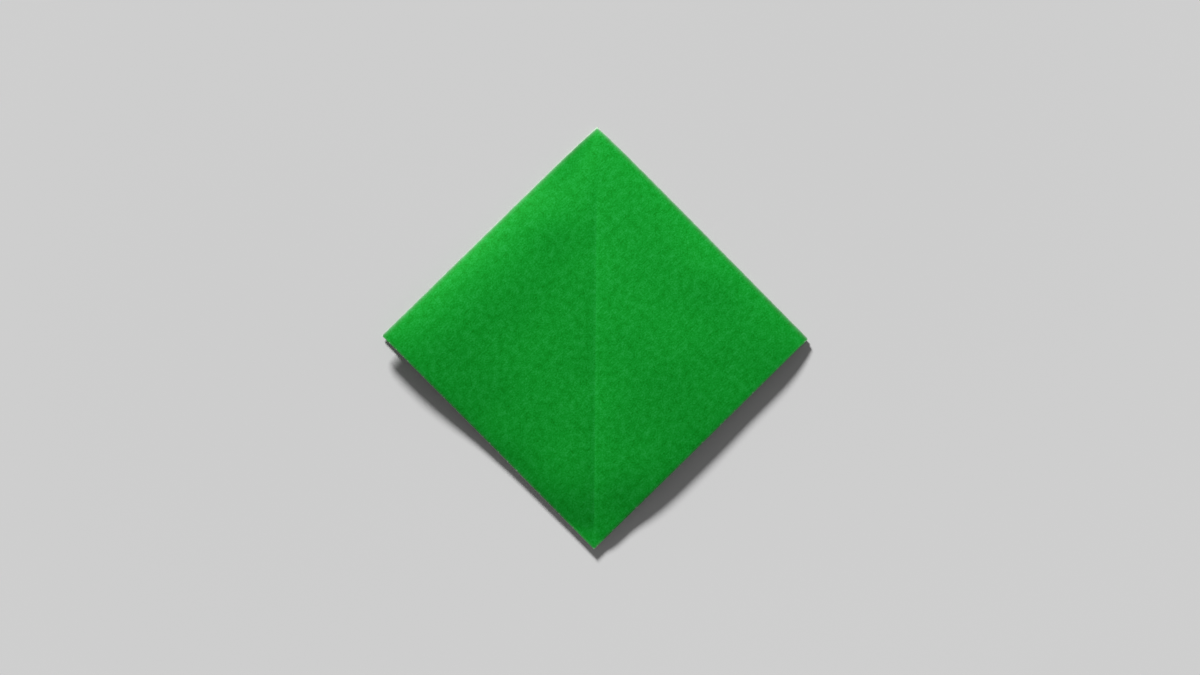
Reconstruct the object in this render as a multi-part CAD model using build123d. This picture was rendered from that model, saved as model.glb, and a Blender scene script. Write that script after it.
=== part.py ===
from build123d import *
from math import atan, cos, exp, hypot, pi, sin, sqrt
import os

# A folded paper square: one square sheet, coloured on one side, brought into
# the square base that a whole family of folded figures starts from.
# The sheet's centre is the closed corner, its four corners meet at the open
# corner, and its four mid-side creases lie two and two along the upper edges.
# Frame: the back flap lies on z = 0, +Z is up, +Y points at the closed corner
# and x = 0 is the plane of the diagonal creases. The origin is the middle of
# the folded square, on the ground.
# Every section is taken square across Y, at a distance t below the closed
# corner, where the folded sheet would be 2 t wide if no edge were cut.

# Driving dimensions, in millimetres
SHEET_SIDE = 150.0        # side of the flat sheet
PAPER = 0.1               # thickness of the paper
FOLD_GAP = 0.1            # clear gap inside every sharp fold
CENTRE_GAP = 0.1          # clear gap between the two folds on the centre line

# How far the springy folds stand above the tight stack, at the side corners
FRONT_LIFT_LEFT = 3.75
FRONT_LIFT_RIGHT = 0.75
CENTRE_LIFT = 0.45
BACK_LIFT_LEFT = 0.75
BACK_LIFT_RIGHT = 0.55
CREASE_LIFT = 1.3

# How the front flap swells beside its folds and sinks at crease and raw edges.
# The left edge only droops in its lower part, from one share of it to another.
PUFF_LEFT = 1.5
PUFF_RIGHT = 1.2
PUFF_REACH = 4.5
CREASE_DIP = 0.25
CREASE_REACH = 4.0
DROOP_LEFT = 2.0
DROOP_LEFT_STARTS = 0.2
DROOP_LEFT_FULL = 0.6
DROOP_RIGHT = 1.15
DROOP_REACH = 9.0

# How the back flap curls up to its folds
BACK_CURL_REACH = 12.0
BACK_FLAT_SHARE = 0.2     # share of the back that stays flat near the closed corner

# Fineness of the curved surfaces
STATIONS = 18             # steps between closed and open corner
STATION_BIAS = 1.3        # above 1, the steps are shorter at the closed corner
FLAP_STEPS = 20           # steps across half a flap
CURL_STEPS = 4            # steps across a curl of the back
FOLD_FACETS = 4           # flats that make up the turn of a sharp fold

# Worked out from those
diagonal = SHEET_SIDE / sqrt(2)
mid_height = diagonal / 2
bend = (FOLD_GAP + PAPER) / 2
centre_fold_x = (CENTRE_GAP + PAPER) / 2 + bend
tip_cut = centre_fold_x + 2 * bend
tip_wall = 3 * PAPER
last_station = diagonal + 10 * PAPER
open_corner_y = (tip_cut - diagonal) / 2
closed_corner_y = open_corner_y + diagonal
curl_width = BACK_CURL_REACH * sqrt(2)
full_curl_station = curl_width / (1 - BACK_FLAT_SHARE) + bend


def fold_heights(t, side):
    """Heights of the middles of the front, centre and back folds on one side.

    The inner layers between them are flat.
    """
    front_lift = FRONT_LIFT_RIGHT if side > 0 else FRONT_LIFT_LEFT
    back_lift = BACK_LIFT_RIGHT if side > 0 else BACK_LIFT_LEFT
    centre = PAPER / 2 + 3 * bend + CENTRE_LIFT * t / mid_height
    across = (t - bend - centre_fold_x) / mid_height
    front = centre + 2 * bend + (front_lift - CENTRE_LIFT) * across
    back = centre - 2 * bend + (back_lift - CENTRE_LIFT) * across
    return front, centre, back


def ramp(share):
    """Smooth step from 0 to 1."""
    share = min(max(share, 0), 1)
    return share * share * (3 - 2 * share)


def swell(distance):
    """0 on a fold, 1 well away from it."""
    return 1 - exp(-max(distance, 0) / PUFF_REACH)


def droop(distance):
    """1 on a raw edge, fading inwards, and outwards where the sheet is cut away."""
    return exp(0.25 - (distance / DROOP_REACH + 0.5) ** 2)


def flap_height(x, t):
    """Height of the middle of the front flap's thickness."""
    end = t - bend
    crease = PAPER / 2 + 6 * bend + CREASE_LIFT * t / mid_height
    fold_top = fold_heights(t, x)[0] + bend
    chord = crease + (fold_top - crease) * abs(x) / end
    down = (t / mid_height - 1 - DROOP_LEFT_STARTS) / (DROOP_LEFT_FULL - DROOP_LEFT_STARTS)
    droop_left = DROOP_LEFT * ramp(down) * droop((diagonal - t + x) / sqrt(2))
    droop_right = DROOP_RIGHT * droop((diagonal - t - x) / sqrt(2))
    puff = PUFF_LEFT + (PUFF_RIGHT - PUFF_LEFT) * ramp((x / end + 1) / 2)
    puff -= hypot(droop_left, droop_right) + CREASE_DIP * exp(-abs(x) / CREASE_REACH)
    return chord + puff * swell((end + x) / sqrt(2)) * swell((end - x) / sqrt(2))


def flap_half(t, side, offset):
    """Points of the front flap from the crease to one fold, offset off its middle."""
    end = t - bend
    step = PAPER / 10
    points = [(0, flap_height(0, t) + offset)]
    for k in range(1, FLAP_STEPS):
        share = k / FLAP_STEPS
        x = side * end * (1.25 * share - 0.25 * share**3)
        angle = atan((flap_height(x + step, t) - flap_height(x - step, t)) / (2 * step))
        points.append((x - offset * sin(angle), flap_height(x, t) + offset * cos(angle)))
    points.append((side * end, flap_height(side * end, t) + offset))
    return points


def fold_turn(x, z, radius):
    """Points round a fold from its top to its bottom, bulging outwards if radius > 0."""
    turns = [pi * k / FOLD_FACETS for k in range(FOLD_FACETS + 1)]
    return [(x + radius * sin(turn), z + abs(radius) * cos(turn)) for turn in turns]


def inner_half(t, side, offset):
    """Points from a front fold's top through the inner layers to the back fold's bottom.

    offset is half the paper towards its coloured side, or minus that.
    """
    front, centre, back = fold_heights(t, side)
    points = fold_turn(t - bend, front, bend + offset)
    points += fold_turn(centre_fold_x, centre, offset - bend)
    points += fold_turn(t - bend, back, bend + offset)
    return [(side * x, z) for x, z in points]


def curl_half(t, side, offset):
    """Points of the back flap's curl, from its fold down to where it lies flat."""
    ground = PAPER / 2 - offset
    end = t - bend
    rise = fold_heights(t, side)[2] - bend - offset - ground
    width = min(curl_width, (1 - BACK_FLAT_SHARE) * end)
    shares = [k / CURL_STEPS for k in range(CURL_STEPS + 1)]
    return [(side * (end - width * share), ground + rise * (1 - share) ** 2) for share in shares]


def placed(points, t):
    return [Vector(x, closed_corner_y - t, z) for x, z in points]


def curve(points, t):
    """Smooth curve through evenly shared points."""
    return Edge.make_spline(placed(points, t), parameters=[k / (len(points) - 1) for k in range(len(points))])


def lines(points, t):
    """Straight lines from point to point."""
    points = placed(points, t)
    return [Edge.make_line(start, end) for start, end in zip(points, points[1:])]


def rest_chain(t, side, offset):
    """Edges of everything but the front flap, from a front fold to the back's middle."""
    curl = curl_half(t, side, offset)
    flat = [curl[-1], (0, curl[-1][1])]
    return lines(inner_half(t, side, offset), t) + [curve(curl, t)] + lines(flat, t)


def flap_section(t):
    top = [flap_half(t, side, PAPER / 2) for side in (-1, 1)]
    under = [flap_half(t, side, -PAPER / 2) for side in (-1, 1)]
    ends = [lines([top[k][-1], under[k][-1]], t)[0] for k in range(2)]
    return Wire([curve(points, t) for points in top + under] + ends)


def rest_section(t):
    edges = []
    for side in (-1, 1):
        edges += rest_chain(t, side, PAPER / 2) + rest_chain(t, side, -PAPER / 2)
        edges += lines([inner_half(t, side, offset)[0] for offset in (PAPER / 2, -PAPER / 2)], t)
    return Wire(edges)


def plug_section(t):
    """Section that runs inside the paper all the way round."""
    edges = [curve(flap_half(t, side, 0), t) for side in (-1, 1)]
    return Wire(edges + rest_chain(t, -1, 0) + rest_chain(t, 1, 0))


def folded_sheet():
    """The whole sheet, closed at its tip and cut along its raw edges."""
    span = last_station - tip_cut
    stations = [tip_cut + span * (k / STATIONS) ** STATION_BIAS for k in range(STATIONS + 1)]
    front_flap = Solid.make_loft([flap_section(t) for t in stations])
    rest_stations = (tip_cut, full_curl_station, last_station)
    rest = Solid.make_loft([rest_section(t) for t in rest_stations], ruled=True)
    plug = Solid.make_loft([plug_section(t) for t in (tip_cut, tip_cut + tip_wall)], ruled=True)

    wide = diagonal
    within_raw_edges = Polyline(
        (0, open_corner_y),
        (wide, open_corner_y + wide),
        (wide, wide),
        (-wide, wide),
        (-wide, open_corner_y + wide),
        close=True,
    )
    return (front_flap + rest + plug) & extrude(make_face(within_raw_edges), diagonal)


sheet = folded_sheet()
os.makedirs("parts", exist_ok=True)
export_step(sheet, "parts/folded_sheet.step")
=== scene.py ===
from math import cos, pi, radians, sin, sqrt

import bpy
import numpy as np
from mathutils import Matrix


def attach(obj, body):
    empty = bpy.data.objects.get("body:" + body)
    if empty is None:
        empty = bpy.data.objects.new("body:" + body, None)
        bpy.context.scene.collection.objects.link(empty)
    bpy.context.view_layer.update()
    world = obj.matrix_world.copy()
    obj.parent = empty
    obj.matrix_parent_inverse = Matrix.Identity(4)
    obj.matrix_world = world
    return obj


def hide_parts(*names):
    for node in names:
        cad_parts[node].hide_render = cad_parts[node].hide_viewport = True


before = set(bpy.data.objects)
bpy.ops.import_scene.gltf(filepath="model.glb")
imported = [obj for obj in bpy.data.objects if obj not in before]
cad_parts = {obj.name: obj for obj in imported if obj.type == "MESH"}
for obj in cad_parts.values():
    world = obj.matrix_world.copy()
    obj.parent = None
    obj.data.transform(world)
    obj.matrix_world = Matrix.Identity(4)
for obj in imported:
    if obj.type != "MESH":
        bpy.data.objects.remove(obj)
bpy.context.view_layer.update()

# The folded green paper square: one sheet, made flat, given its fold lines, then
# folded and given the paper's thickness. Lengths are in millimetres until the
# folded points go into the mesh, which is then in metres.

MM = 0.001
TINY = 1e-6                     # keeps a division off zero

# The sheet's measures
SHEET_SIDE = 150.0
PAPER = 0.1
BEND = 0.1                      # radius of a sharp fold, to the middle of the paper
CENTRE_FOLD_X = 0.2             # where the two folds beside the centre line turn
TIP_CUT = 0.4                   # how far the blunt closed corner is from the ideal one

# How far the folds stand above the tight stack at the side corners, and the front's middle crease there
FRONT_LIFT_LEFT = 3.75
FRONT_LIFT_RIGHT = 0.75
CENTRE_LIFT = 0.45
BACK_LIFT_LEFT = 0.75
BACK_LIFT_RIGHT = 0.55
CREASE_LIFT = 0.91

# The front flap swells beside its folds, sinks to a valley at its middle crease
# and droops at its raw edges, on the left more and more towards the open corner
PUFF_LEFT = 0.82
PUFF_RIGHT = 2.25
PUFF_REACH_LEFT = 3.3
PUFF_REACH_RIGHT = 5.9
CREASE_DIP = 0.86
CREASE_REACH_LEFT = 6.5
CREASE_REACH_RIGHT = 4.2
VALLEY_STARTS = 10.0            # how far below the closed corner the valley begins
VALLEY_GROWS = 14.0
LEFT_SAG = 0.49
DROOP_LEFT = 2.1
DROOP_LEFT_STARTS = 0.11        # in shares of the left edge, from its side corner
DROOP_LEFT_FULL = 0.81
DROOP_RIGHT = 0.59
DROOP_REACH = 8.0
DROOP_OFFSET = 0.5              # the higher, the steeper the droop is at the edge itself

# The flap's raw edges turn down a little more in their last millimetre, most of all near the open corner
EDGE_DIP_LEFT = 0.36
EDGE_DIP_RIGHT = 0.22
EDGE_DIP_ABOVE = 0.6            # share of it at the side corners
EDGE_REACH = 0.45

# Soft swells and dents in the flap: place across and up, reach, height
SWELLS = (
    (-24.8, 15.0, 16.0, 1.68), (-38.4, 1.3, 10.1, 0.76), (-26.2, -18.0, 9.1, -0.70),
    (3.5, 16.8, 9.2, 0.62), (-2.5, -11.1, 6.3, -0.17), (33.1, -8.0, 9.0, -0.40),
    (-23.1, -10.5, 8.7, 0.31), (-12.1, 30.1, 8.7, 1.14), (0.9, 30.6, 7.0, 0.49),
    (8.2, 4.7, 8.4, 0.65), (29.8, 16.5, 8.5, 0.93), (15.3, -6.3, 10.9, 0.70),
    (-17.1, -29.2, 9.4, -0.60), (8.9, -26.7, 5.9, -0.14), (7.2, -45.4, 8.9, -1.01),
    (-14.5, 9.0, 8.2, -0.27), (26.4, 10.8, 10.4, -0.49),
)
# The small wrinkle by the right fold
WRINKLES = ((36.0, 12.6, 1.6, -0.12), (37.6, 11.6, 1.5, 0.08))

# The slight waves that paper has everywhere
COCKLE_SEED = 7
COCKLE_COUNT = 14
COCKLE_SLOPE = 0.025
SHORTEST_COCKLE = 6
LONGEST_COCKLE = 22

# The least height of the flap's middle above that of the layer under it, and how softly it is kept
FLAP_CLEAR = 0.15
LYING_BLEND = 0.08

# The lifted inner layer on the left sags between its two folds, towards its raw edge
LAYER_SAG = 1.28
LAYER_SAG_POWER = 4             # the higher, the nearer to the centre fold it hangs lowest
LAYER_SAG_STARTS = 0.8          # in shares of the way from the closed corner to the side corners
LAYER_SAG_GROWS = 0.7
LAYER_EDGE_DIP = 0.15           # its raw edge turns down too, but for a share at either end
LAYER_DIP_INSIDE = 0.12
LAYER_DIP_OUTSIDE = 0.3

# How far the raw edges of the two curved flaps stop short of the flatter layers between them
RETREAT_LEFT = 0.1
RETREAT_RIGHT = 0.08
RETREAT_BACK = 0.05
RETREAT_FADES = 0.12            # in shares of the way, next to the folds

# How far in from its folds the back flap curls up, and the least share of it that stays flat
BACK_CURL_REACH = 12.0
BACK_FLAT_SHARE = 0.2

# The closed corner: blunt and pinched together, with the upper layers springing up from it
TIP_BLUNT = 0.6
TIP_REACH = 6.0
PINCH_REACH = 0.35
TIP_RISE = 0.5
TIP_RISE_REACH = 2.2
TIP_RISE_FADES = 25.0

SIDE_PLAY = 0.02                # how far the side folds stop short of the ideal ones
NARROWEST = 0.05                # the least width that the flap's formula divides by

diagonal = SHEET_SIDE / sqrt(2)
mid_height = diagonal / 2
open_corner_y = (TIP_CUT - diagonal) / 2
closed_corner_y = open_corner_y + diagonal


# How it is folded
def ramp(share):
    """Smooth step from 0 to 1."""
    share = np.clip(share, 0, 1)
    return share * share * (3 - 2 * share)


def swell(distance, reach):
    """0 on a fold, 1 well away from it."""
    return 1 - np.exp(-np.maximum(distance, 0) / reach)


def droop(distance):
    """1 on a raw edge, fading inwards."""
    return np.exp(DROOP_OFFSET ** 2 - (distance / DROOP_REACH + DROOP_OFFSET) ** 2)


def tip_rise(t):
    """How far the upper layers stand up, at a distance t below the closed corner."""
    return TIP_RISE * (1 - np.exp(-(t / TIP_RISE_REACH) ** 2)) * np.exp(-t / TIP_RISE_FADES)


def fold_heights(t, right):
    """Heights of the middles of the front, centre and back folds."""
    front_lift = np.where(right, FRONT_LIFT_RIGHT, FRONT_LIFT_LEFT)
    back_lift = np.where(right, BACK_LIFT_RIGHT, BACK_LIFT_LEFT)
    centre = PAPER / 2 + 3 * BEND + CENTRE_LIFT * t / mid_height
    across = (t - BEND - CENTRE_FOLD_X) / mid_height
    front = centre + 2 * BEND + (front_lift - CENTRE_LIFT) * across + tip_rise(t)
    back = centre - 2 * BEND + (back_lift - CENTRE_LIFT) * across
    return front, centre, back


chance = np.random.default_rng(COCKLE_SEED)
COCKLES = [
    (
        chance.uniform(0, 2 * pi),
        2 * pi / chance.uniform(SHORTEST_COCKLE, LONGEST_COCKLE),
        chance.uniform(0, 2 * pi),
    )
    for _ in range(COCKLE_COUNT)
]


def cockle(x, y):
    """Height of the slight waves."""
    total = 0
    for heading, waves, start in COCKLES:
        wave = np.sin(waves * (x * cos(heading) + y * sin(heading)) + start)
        total = total + COCKLE_SLOPE / waves / COCKLE_COUNT * wave
    return total


def lying_on(height, support):
    """The height, raised smoothly where it would sink into what lies under it."""
    clear = (height - support - FLAP_CLEAR) / LYING_BLEND
    return support + FLAP_CLEAR + LYING_BLEND * np.logaddexp(0, clear)


def layer_sag(share, t, right):
    """How far the upper inner layer hangs below a flat one, at a share of the way out to its fold."""
    grown = ramp((t / mid_height - LAYER_SAG_STARTS) / LAYER_SAG_GROWS)
    hang = LAYER_SAG * (1 - share) * (1 - (1 - share) ** LAYER_SAG_POWER)
    to_edge = np.maximum(diagonal - t * (1 + share), 0) / sqrt(2)
    turned = LAYER_EDGE_DIP * np.exp(-to_edge / EDGE_REACH)
    turned = turned * ramp(share / LAYER_DIP_INSIDE) * ramp((1 - share) / LAYER_DIP_OUTSIDE)
    return np.where(right, 0, (hang + turned) * grown)


def flap_height(x, t):
    """Height of the middle of the front flap's paper."""
    end = np.maximum(t - BEND, NARROWEST)
    out = np.clip(np.abs(x) / end, 0, 1)
    to_left_edge = (diagonal - t + x) / sqrt(2)
    to_right_edge = (diagonal - t - x) / sqrt(2)
    crease = PAPER / 2 + 6 * BEND + CREASE_LIFT * t / mid_height + tip_rise(t)
    front, centre, _ = fold_heights(t, x > 0)
    fold_top = front + BEND
    chord = crease + (fold_top - crease) * np.abs(x) / end

    down = (t / mid_height - 1 - DROOP_LEFT_STARTS) / (DROOP_LEFT_FULL - DROOP_LEFT_STARTS)
    droop_left = DROOP_LEFT * ramp(down) * droop(to_left_edge)
    droop_right = DROOP_RIGHT * droop(to_right_edge)
    dip = EDGE_DIP_LEFT * np.exp(-to_left_edge / EDGE_REACH)
    dip = dip + EDGE_DIP_RIGHT * np.exp(-to_right_edge / EDGE_REACH)
    lower = np.clip(t / mid_height - 1, 0, 1)
    dip = dip * (EDGE_DIP_ABOVE + (1 - EDGE_DIP_ABOVE) * lower)
    reach = np.where(x > 0, CREASE_REACH_RIGHT, CREASE_REACH_LEFT)
    valley = CREASE_DIP * ramp((t - VALLEY_STARTS) / VALLEY_GROWS) * np.exp(-np.abs(x) / reach)
    sag = np.where(x < 0, LEFT_SAG * np.sin(pi * out), 0)

    puff = PUFF_LEFT + (PUFF_RIGHT - PUFF_LEFT) * ramp((x / end + 1) / 2)
    puff = puff - np.hypot(droop_left, droop_right) - dip - valley - sag
    y = closed_corner_y - t
    for at_x, at_y, reach, rise in (*SWELLS, *WRINKLES):
        puff = puff + rise * np.exp(-((x - at_x) ** 2 + (y - at_y) ** 2) / reach ** 2)
    off_folds = swell((end + x) / sqrt(2), PUFF_REACH_LEFT) * swell((end - x) / sqrt(2), PUFF_REACH_RIGHT)
    height = chord + (puff + cockle(x, y)) * off_folds
    layer = centre + BEND + (front - centre - 2 * BEND) * out - layer_sag(out, t, x > 0)
    return height + (lying_on(height, layer) - height) * off_folds


def flap_points(share, end, bend, t, right):
    """Front and back flaps: from the middle crease out to the fold, and half way round it."""
    front, _, back = fold_heights(t, right)
    run = share * (end + pi / 2 * bend)
    turn = np.maximum(run - end, 0) / np.maximum(bend, TINY)
    is_open = run < end
    flap_x = np.where(is_open, run, end + bend * np.sin(turn))
    signed = np.where(right, flap_x, -flap_x)
    front_z = np.where(is_open, flap_height(signed, t), front + BEND * np.cos(turn))

    ground = PAPER / 2
    rise = back - BEND - ground
    curl = np.minimum(BACK_CURL_REACH * sqrt(2), (1 - BACK_FLAT_SHARE) * end)
    lean = np.clip(1 - (end - run) / np.maximum(curl, TINY), 0, 1)
    back_z = np.where(is_open, ground + rise * lean ** 2, back - BEND * np.cos(turn))
    return flap_x, front_z, back_z


def side_points(share, end, bend, centre_x, t, right, upper):
    """Side quarters: half way round the centre fold, out to the side fold, half way round that."""
    front, centre, back = fold_heights(t, right)
    quarter_turn = pi / 2 * bend
    layer = end - centre_x
    run = share * (layer + 2 * quarter_turn)
    turn_in = run / np.maximum(bend, TINY)
    turn_out = (run - quarter_turn - layer) / np.maximum(bend, TINY)
    outward = np.clip((run - quarter_turn) / np.maximum(layer, TINY), 0, 1)
    is_turning_in = run < quarter_turn
    is_turning_out = run > quarter_turn + layer
    side_x = np.where(is_turning_out, end + bend * np.sin(turn_out), centre_x + layer * outward)
    side_x = np.where(is_turning_in, centre_x - bend * np.cos(turn_in), side_x)

    outer = np.where(upper, front, back)
    facing = np.where(upper, 1, -1)
    near = centre + facing * BEND
    far = outer - facing * BEND
    between = near + (far - near) * outward - np.where(upper, layer_sag(outward, t, right), 0)
    side_z = np.where(is_turning_out, outer - facing * BEND * np.cos(turn_out), between)
    side_z = np.where(is_turning_in, centre + facing * BEND * np.sin(turn_in), side_z)
    return side_x, side_z


def fold_flat_points(x, y):
    """Where each point of the flat sheet goes. Its corners point along x and y."""
    along = np.maximum(np.abs(x), np.abs(y))        # distance down from the sheet's centre
    off = np.minimum(np.abs(x), np.abs(y))          # distance from the quarter's own diagonal
    right = x > 0
    is_front = -y >= np.abs(x)
    is_back = y > np.abs(x)
    is_side = ~(is_front | is_back)
    upper = y <= 0                                  # the half of a side quarter next to the front

    share = off / np.maximum(along, TINY)
    short_in_front = np.where(right, RETREAT_RIGHT, RETREAT_LEFT)
    short = np.where(is_front, short_in_front, np.where(is_back, RETREAT_BACK, 0))
    short = short * ramp((1 - share) / RETREAT_FADES)
    along = along * (1 - short * sqrt(2) / diagonal)
    tight = 1 - np.exp(-along / PINCH_REACH)        # everything shrinks into the closed corner
    bend = BEND * tight
    end = np.maximum(along - bend - SIDE_PLAY * tight, TINY)
    t = along + TIP_BLUNT * np.exp(-along / TIP_REACH)

    flap_x, front_z, back_z = flap_points(share, end, bend, t, right)
    side_x, side_z = side_points(share, end, bend, CENTRE_FOLD_X * tight, t, right, upper)
    folded_x = np.where(is_side, side_x, flap_x)
    folded_x = np.where(right, folded_x, -folded_x)
    folded_z = np.where(is_front, front_z, np.where(is_back, back_z, side_z))
    middle = PAPER / 2 + 3 * BEND
    folded_z = middle + (folded_z - middle) * tight
    return folded_x, closed_corner_y - t, folded_z


# The sheet, flat and then folded
CELLS = 180
# How far the extra lines of edges are from each fold, crease and raw edge
BESIDE_SIDE_FOLDS = (0.037, 0.074, 0.111, 0.3)
BESIDE_INNER_FOLDS = (0, 0.052, 0.105, 0.157, 0.35)
BESIDE_CREASES = (0, 0.12, 0.3, 0.6)
BESIDE_RAW_EDGES = (0.25, 0.5)
SMOOTH_UP_TO = radians(60)

bpy.ops.object.select_all(action="DESELECT")
bpy.ops.mesh.primitive_grid_add(
    x_subdivisions=CELLS, y_subdivisions=CELLS, size=SHEET_SIDE, rotation=(0, 0, radians(45))
)
sheet = bpy.context.object
sheet.name = sheet.data.name = "folded_paper"
bpy.ops.object.transform_apply(location=True, rotation=True, scale=True)


def score(distances, across):
    """Lines of edges right across the flat sheet, at these distances on both sides of its middle."""
    for distance in distances:
        for sign in (-1, 1):
            bpy.ops.mesh.select_all(action="SELECT")
            bpy.ops.mesh.bisect(plane_co=[sign * distance * a for a in across], plane_no=across)


bpy.ops.object.mode_set(mode="EDIT")
slant = 1 / sqrt(2)
for across in ((slant, slant, 0), (slant, -slant, 0)):
    score(BESIDE_SIDE_FOLDS, across)
score(BESIDE_INNER_FOLDS, (0, 1, 0))
score(BESIDE_CREASES, (1, 0, 0))
for across in ((slant, slant, 0), (slant, -slant, 0)):
    score([SHEET_SIDE / 2 - inwards for inwards in BESIDE_RAW_EDGES], across)
bpy.ops.object.mode_set(mode="OBJECT")

flat = np.zeros(len(sheet.data.vertices) * 3, np.float32)
sheet.data.vertices.foreach_get("co", flat)
flat = flat.reshape(-1, 3).astype(float)
folded = np.stack(fold_flat_points(flat[:, 0], flat[:, 1]), 1) * MM
sheet.data.vertices.foreach_set("co", folded.astype(np.float32).ravel())
sheet.data.update()

# Finishes: colours in sRGB of 0 to 255, roughness and specular level
GREENS = ((0.1, (3, 122, 20)), (0.5, (10, 143, 38)), (0.9, (31, 157, 61)))      # each with its tone
GREEN_ROUGHNESS = (0.54, 0.62)
GREEN_SPECULAR = 0.065
RUBBED = (150, 160, 158)
RUBBED_BARE = (212, 218, 206)
WHITES = ((214, 219, 211), (233, 234, 229))
WHITE_ROUGHNESS = 0.8
WHITE_SPECULAR = 0.2
CUT_WHITES = ((190, 204, 188), (226, 230, 222))
CUT_ROUGHNESS = 0.9
CUT_SPECULAR = 0.1

# Tone: its middle, how much lighter it is on a fibre, and each grain's size, detail and strength
GREEN_TONE = 0.46
GREEN_FIBRE_TONE = 0.18
GREEN_GRAINS = ((0.42, 1.0, 1.08), (1.8, 2.0, 0.88))
WHITE_FIBRE_TONE = 0.25
WHITE_GRAIN = (0.9, 2.0, 0.8)
CUT_GRAIN_SIZE = 0.3
SHEEN_SIZE = 0.8
MOST_NOISE = (0.3, 0.7)         # most values of a noise lie between these

# Fibres: the ways they lie, how they are stretched and bent, what keeps the ways apart,
# and at which values of the noise a fibre begins and is full
FIBRE_HEADINGS = (0.35, 1.4, 2.5)
FIBRE_STRETCH = (0.55, 4.2, 1)
FIBRE_BENDING = 0.6
FIBRE_SHIFT = 9
FIBRE_RANGE = (0.56, 0.72)

# Relief: its height, its size, and how much the fibres add to it on either side
RELIEF = 0.02
RELIEF_SIZE = 0.45
GREEN_FIBRE_RELIEF = 0.25
WHITE_FIBRE_RELIEF = 0.3

# Wear: up to what distance it is full, where it is gone, and its strength
FOLD_WEAR = ((0.1, 0.3, 0.6), (0.1, 0.8, 0.4), (0.3, 1.4, 0.1))
EDGE_WEAR = (0.05, 0.7, 0.1)
EDGE_FLECKS = (0.1, 0.35, 0.5)
CLOSED_CORNER_WEAR = (0.2, 0.9, 0.6)
SIDE_CORNER_WEAR = (0.1, 0.7, 0.8)
OPEN_CORNER_WEAR = (0.1, 0.6, 0.6)
CREASE_BLOOM = (0.1, 0.9, 0.22)
BLOOM_GROWS = (9.0, 17.0)       # how far below the sheet's centre it begins and is full
BARE_RANGE = (0.3, 0.75)        # how worn the paper is where it begins to be bare, and where it is

# What breaks the wear up: a noise's size, at which values it begins and is full, and its least
FLECK_SIZE = 0.8
FLECK_RANGE = (0.6, 0.7)
PATCH_SIZE = 1.3
PATCH_RANGE = (0.35, 0.62)
PATCH_LEAST = 0.8
SPECK_SIZE = 0.45
SPECK_RANGE = (0.35, 0.7)
SPECK_LEAST = 0.3


def linear(colour):
    """An sRGB colour of 0 to 255 as the shader wants it."""
    out = [c / 255 / 12.92 if c <= 10 else ((c / 255 + 0.055) / 1.055) ** 2.4 for c in colour]
    return (*out, 1)


def new_finish(name):
    """A material, its nodes and its shader."""
    finish = bpy.data.materials.new(name)
    finish.use_nodes = True
    return finish, finish.node_tree, finish.node_tree.nodes["Principled BSDF"]


def node(tree, kind, inputs, output=0, **settings):
    """A node with its inputs set or linked; gives back one of its outputs."""
    made = tree.nodes.new("ShaderNode" + kind)
    for name, value in settings.items():
        setattr(made, name, value)
    for socket, value in inputs.items():
        if isinstance(value, bpy.types.NodeSocket):
            tree.links.new(value, made.inputs[socket])
        else:
            made.inputs[socket].default_value = value
    return made.outputs[output]


def maths(tree, operation, *values):
    """What one operation makes of the values."""
    return node(tree, "Math", dict(enumerate(values)), operation=operation)


def spread(tree, value, low, high, start=0.0, end=1.0):
    """A value that goes from start to end while the given one goes from low to high."""
    return node(tree, "MapRange", {0: value, 1: low, 2: high, 3: start, 4: end})


def fade(tree, value, full, gone, strength):
    """strength up to the distance full, falling smoothly to nothing at the distance gone."""
    ends = {0: value, 1: full, 2: gone, 3: strength, 4: 0.0}
    return node(tree, "MapRange", ends, interpolation_type="SMOOTHSTEP")


def mixed(tree, share, below, above):
    """A colour between two, at a share of the way."""
    return node(tree, "Mix", {0: share, 6: below, 7: above}, output=2, data_type="RGBA")


def grain(tree, place, size, detail=0.0):
    """Noise with features about size millimetres across."""
    return node(tree, "TexNoise", {"Vector": place, "Scale": 1 / size, "Detail": detail, "Roughness": 0.5})


def on_flat_sheet(tree):
    """Millimetres across and up the flat sheet."""
    unfolded = node(tree, "UVMap", {}, uv_map="UVMap")
    return node(tree, "VectorMath", {0: unfolded, "Scale": SHEET_SIDE}, operation="SCALE")


def fibres(tree, place):
    """Fine fibres lying three ways in the paper, 1 on a fibre and 0 between."""
    strands = []
    for heading in FIBRE_HEADINGS:
        apart = (heading * FIBRE_SHIFT, 0, 0)
        lying = {"Vector": place, "Rotation": (0, 0, heading), "Scale": FIBRE_STRETCH, "Location": apart}
        turned = node(tree, "Mapping", lying)
        streaks = {"Vector": turned, "Scale": 1.0, "Detail": 1.0, "Distortion": FIBRE_BENDING}
        strands.append(spread(tree, node(tree, "TexNoise", streaks), *FIBRE_RANGE))
    return maths(tree, "MAXIMUM", maths(tree, "MAXIMUM", *strands[:2]), strands[2])


def raise_grain(tree, shader, place, strands, fibre_relief):
    """Gives a finish the paper's fine relief."""
    raised = maths(tree, "MULTIPLY", strands, fibre_relief)
    relief = maths(tree, "ADD", grain(tree, place, RELIEF_SIZE, 2.0), raised)
    bumpy = node(tree, "Bump", {"Strength": 1.0, "Distance": RELIEF * MM, "Height": relief})
    tree.links.new(bumpy, shader.inputs["Normal"])


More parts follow.
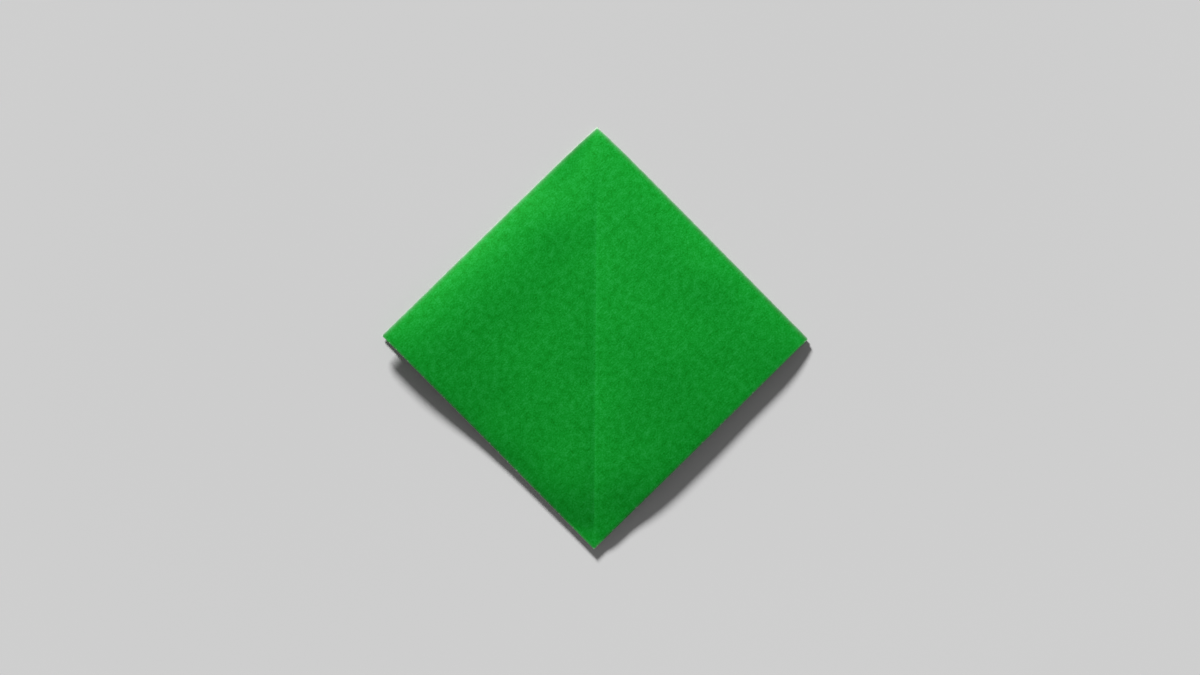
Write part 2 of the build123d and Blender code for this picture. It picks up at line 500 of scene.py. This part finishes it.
def fold_distances(tree, place):
    """Millimetres to the nearest fold and crease, down from the sheet's centre, and in from the cut edges."""
    half = SHEET_SIDE / 2
    u = node(tree, "SeparateXYZ", {0: place})
    v = u.node.outputs["Y"]
    off_u = maths(tree, "ABSOLUTE", maths(tree, "SUBTRACT", u, half))
    off_v = maths(tree, "ABSOLUTE", maths(tree, "SUBTRACT", v, half))
    to_fold = maths(tree, "MINIMUM", off_u, off_v)
    from_centre = maths(tree, "MAXIMUM", off_u, off_v)
    to_edge = maths(tree, "SUBTRACT", half, from_centre)
    to_second_edge = maths(tree, "SUBTRACT", half, to_fold)
    to_crease = maths(tree, "MULTIPLY", maths(tree, "SUBTRACT", from_centre, to_fold), 1 / sqrt(2))
    return to_fold, to_crease, from_centre, to_edge, to_second_edge


def wear_of(tree, place, to_fold, from_centre, to_edge, to_second_edge):
    """How far the colour is rubbed off along folds, cut edges and corners."""
    def to_corner(a, b):
        squares = [maths(tree, "MULTIPLY", distance, distance) for distance in (a, b)]
        return maths(tree, "SQRT", maths(tree, "ADD", *squares))

    patches = spread(tree, grain(tree, place, PATCH_SIZE, 1.0), *PATCH_RANGE, PATCH_LEAST)
    flecks = spread(tree, grain(tree, place, FLECK_SIZE), *FLECK_RANGE)
    worn = maths(tree, "MULTIPLY", fade(tree, to_edge, *EDGE_FLECKS), flecks)
    for distance, wear in (
        *((to_fold, wear) for wear in FOLD_WEAR),
        (to_edge, EDGE_WEAR),
        (to_corner(to_fold, from_centre), CLOSED_CORNER_WEAR),
        (to_corner(to_fold, to_edge), SIDE_CORNER_WEAR),
        (to_corner(to_edge, to_second_edge), OPEN_CORNER_WEAR),
    ):
        worn = maths(tree, "MAXIMUM", worn, fade(tree, distance, *wear))
    return maths(tree, "MULTIPLY", worn, patches)


def crease_bloom(tree, place, to_crease, from_centre):
    """The faint lighter band that the fingers left on the open creases, none near the sheet's centre."""
    specks = spread(tree, grain(tree, place, SPECK_SIZE, 1.0), *SPECK_RANGE, SPECK_LEAST)
    lower = spread(tree, from_centre, *BLOOM_GROWS)
    bloom = fade(tree, to_crease, *CREASE_BLOOM)
    return maths(tree, "MULTIPLY", maths(tree, "MULTIPLY", bloom, specks), lower)


def green_side():
    """The coloured side: mottled and fibrous, rubbed pale at its folds and corners."""
    finish, tree, shader = new_finish("green_coloured_side")
    place = on_flat_sheet(tree)
    strands = fibres(tree, place)
    to_fold, to_crease, from_centre, to_edge, to_second_edge = fold_distances(tree, place)
    tone = maths(tree, "MULTIPLY_ADD", strands, GREEN_FIBRE_TONE, GREEN_TONE)
    for size, detail, strength in GREEN_GRAINS:
        mottle = maths(tree, "MULTIPLY_ADD", grain(tree, place, size, detail), strength, -strength / 2)
        tone = maths(tree, "ADD", tone, mottle)
    tone = maths(tree, "ADD", tone, crease_bloom(tree, place, to_crease, from_centre))

    green = node(tree, "ValToRGB", {0: tone})
    stops = green.node.color_ramp.elements
    stops.new(0.5)
    for stop, (position, colour) in zip(stops, GREENS):
        stop.position = position
        stop.color = linear(colour)
    worn = wear_of(tree, place, to_fold, from_centre, to_edge, to_second_edge)
    bare = mixed(tree, spread(tree, worn, *BARE_RANGE), linear(RUBBED), linear(RUBBED_BARE))
    tree.links.new(mixed(tree, worn, green, bare), shader.inputs["Base Color"])

    raise_grain(tree, shader, place, strands, GREEN_FIBRE_RELIEF)
    roughness = spread(tree, grain(tree, place, SHEEN_SIZE, 1.0), *MOST_NOISE, *GREEN_ROUGHNESS)
    tree.links.new(roughness, shader.inputs["Roughness"])
    shader.inputs["Specular IOR Level"].default_value = GREEN_SPECULAR
    return finish


def white_side():
    """The side without colour."""
    finish, tree, shader = new_finish("white_paper_side")
    place = on_flat_sheet(tree)
    strands = fibres(tree, place)
    size, detail, strength = WHITE_GRAIN
    lighter = maths(tree, "MULTIPLY", strands, WHITE_FIBRE_TONE)
    tone = maths(tree, "MULTIPLY_ADD", grain(tree, place, size, detail), strength, lighter)
    tree.links.new(mixed(tree, tone, *map(linear, WHITES)), shader.inputs["Base Color"])
    raise_grain(tree, shader, place, strands, WHITE_FIBRE_RELIEF)
    shader.inputs["Roughness"].default_value = WHITE_ROUGHNESS
    shader.inputs["Specular IOR Level"].default_value = WHITE_SPECULAR
    return finish


def cut_edge():
    """The sheet's rim."""
    finish, tree, shader = new_finish("white_cut_edge")
    tone = grain(tree, on_flat_sheet(tree), CUT_GRAIN_SIZE, 1.0)
    tree.links.new(mixed(tree, tone, *map(linear, CUT_WHITES)), shader.inputs["Base Color"])
    shader.inputs["Roughness"].default_value = CUT_ROUGHNESS
    shader.inputs["Specular IOR Level"].default_value = CUT_SPECULAR
    return finish


for finish in (green_side(), white_side(), cut_edge()):
    sheet.data.materials.append(finish)

thickness = sheet.modifiers.new("paper", "SOLIDIFY")
thickness.thickness = PAPER * MM
thickness.offset = 0
thickness.use_even_offset = True
thickness.material_offset = 1
thickness.material_offset_rim = 2
bpy.ops.object.modifier_apply(modifier="paper")
bpy.ops.object.shade_smooth_by_angle(angle=SMOOTH_UP_TO)

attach(sheet, "root")
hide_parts("folded_sheet")

# Floor, light and camera, in metres
LAMP_DISTANCE = 0.6
LAMP_TURN = radians(18)         # left of the sheet's closed corner, seen from above
LAMP_ZENITH = radians(62)
LAMP_SIZE = 0.12
LAMP_LEVEL = 0.85
WORLD_LEVEL = 0.15
lamp_at = [
    LAMP_DISTANCE * along
    for along in (-sin(LAMP_ZENITH) * sin(LAMP_TURN), sin(LAMP_ZENITH) * cos(LAMP_TURN), cos(LAMP_ZENITH))
]

# The floor is as bright as the background. It is paler away from the lamp, to make
# up for the light's falling off, and runs out into the background's even paleness.
BACKGROUND_LEVEL = 0.62
FALL_OFF = 2.55                 # power of the distance to the lamp
PALEST = 1.5                    # times the colour that it has near the sheet
SWEEP_STARTS = 0.075
SWEEP_ENDS = 0.16
FLOOR_SIZE = 6
FLOOR_Z = -0.00005


def pale_floor():
    """Catches the light and shadow near the sheet, and glows like the background further out."""
    finish, tree, shader = new_finish("pale_floor")
    shader.inputs["Roughness"].default_value = 1.0
    shader.inputs["Specular IOR Level"].default_value = 0.0
    on_floor = node(tree, "TexCoord", {}, output="Object")
    to_lamp = node(tree, "VectorMath", {0: on_floor, 1: lamp_at}, output="Value", operation="DISTANCE")
    fallen_off = maths(tree, "POWER", maths(tree, "DIVIDE", to_lamp, LAMP_DISTANCE), FALL_OFF)
    evened = maths(tree, "MINIMUM", fallen_off, PALEST)
    pale = node(tree, "VectorMath", {0: (BACKGROUND_LEVEL,) * 3, "Scale": evened}, operation="SCALE")
    tree.links.new(pale, shader.inputs["Base Color"])

    from_middle = node(tree, "VectorMath", {0: on_floor}, output="Value", operation="LENGTH")
    far = spread(tree, from_middle, SWEEP_STARTS, SWEEP_ENDS)
    seen = maths(tree, "MULTIPLY", far, node(tree, "LightPath", {}, output="Is Camera Ray"))
    glow = node(tree, "Emission", {"Color": (1, 1, 1, 1), "Strength": BACKGROUND_LEVEL})
    sweep = node(tree, "MixShader", {0: seen, 1: shader.outputs[0], 2: glow})
    tree.links.new(sweep, tree.nodes["Material Output"].inputs["Surface"])
    return finish


bpy.ops.object.select_all(action="DESELECT")
bpy.ops.mesh.primitive_plane_add(size=FLOOR_SIZE, location=(0, 0, FLOOR_Z))
floor = bpy.context.object
floor.name = "floor"
floor.data.materials.append(pale_floor())

bpy.ops.object.light_add(type="AREA", location=lamp_at, rotation=(LAMP_ZENITH, 0, pi + LAMP_TURN))
lamp = bpy.context.object
lamp.name = "window_light"
lamp.data.shape = "DISK"
lamp.data.size = LAMP_SIZE
lamp.data.energy = LAMP_LEVEL * pi ** 2 * LAMP_DISTANCE ** 2 / cos(LAMP_ZENITH)

world = bpy.data.worlds.new("soft_room")
bpy.context.scene.world = world
world.use_nodes = True
room = world.node_tree.nodes["Background"]
room.inputs["Color"].default_value = (1, 1, 1, 1)
seen = node(world.node_tree, "LightPath", {}, output="Is Camera Ray")
level = spread(world.node_tree, seen, 0.0, 1.0, WORLD_LEVEL, BACKGROUND_LEVEL)
world.node_tree.links.new(level, room.inputs["Strength"])

PHOTO_WIDTH, PHOTO_HEIGHT = 1200, 675
PIXEL = 0.2502                  # millimetres of the table to a pixel of the photograph
OBJECT_AT = (595.6, 338.0)      # where the square's middle is in it
TURNED = radians(0.44)          # how far the square is turned, clockwise
LENS, SENSOR = 70, 36
# How far the middle of the view lies to the right of the square's and above it
view_right = (PHOTO_WIDTH / 2 - OBJECT_AT[0]) * PIXEL
view_up = (OBJECT_AT[1] - PHOTO_HEIGHT / 2) * PIXEL
bpy.ops.object.camera_add(
    location=(
        (view_right * cos(TURNED) - view_up * sin(TURNED)) * MM,
        (view_right * sin(TURNED) + view_up * cos(TURNED)) * MM,
        PHOTO_WIDTH * PIXEL * MM / SENSOR * LENS,
    ),
    rotation=(0, 0, TURNED),
)
camera = bpy.context.object
camera.data.lens = LENS
camera.data.sensor_width = SENSOR
bpy.context.scene.camera = camera
bpy.context.scene.view_settings.view_transform = "Standard"
